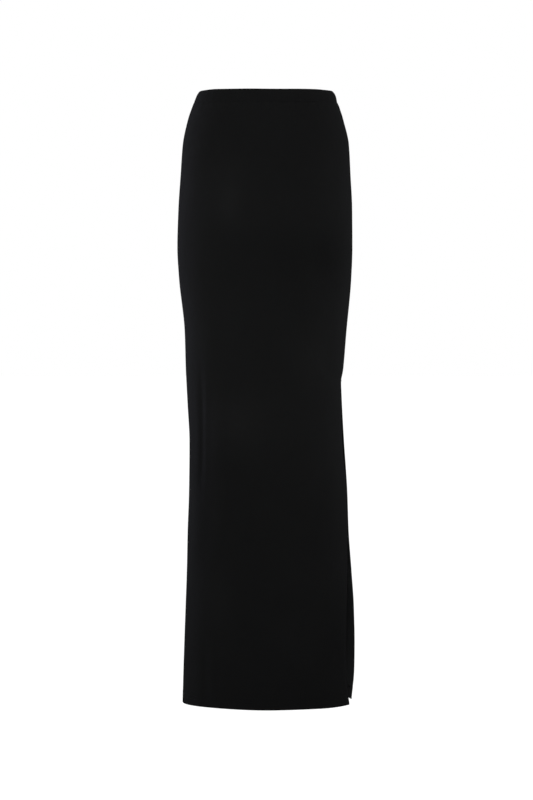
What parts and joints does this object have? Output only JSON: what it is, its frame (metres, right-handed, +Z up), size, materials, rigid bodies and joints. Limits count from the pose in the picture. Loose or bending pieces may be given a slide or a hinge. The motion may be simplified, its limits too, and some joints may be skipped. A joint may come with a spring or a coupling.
{
  "type": "worn skirt",
  "caption": "Long, narrow column skirt in black jersey, hollow and filled out as worn, with a banded waist and a slit at the wearer's left side from above the knee to the hem.",
  "frame": {"origin": "middle of the waist opening, level with the waistband's top edge, where the wearer's waist holds the skirt", "axes": "+Z up along the body, -Y towards the front, +X towards the wearer's left, where the slit is"},
  "size_m": [0.319, 0.2358, 1.102],
  "materials": {
    "waistband": "matt black fine-knit stretch jersey, folded over",
    "front_panel": "matt black fine-knit stretch jersey with a faint cool sheen at its sides",
    "back_panel": "matt black fine-knit stretch jersey with a faint cool sheen at its sides"
  },
  "bodies": {
    "root": {"waistband": "waistband", "front_panel": "front_panel", "back_panel": "back_panel"}
  },
  "joints": []
}
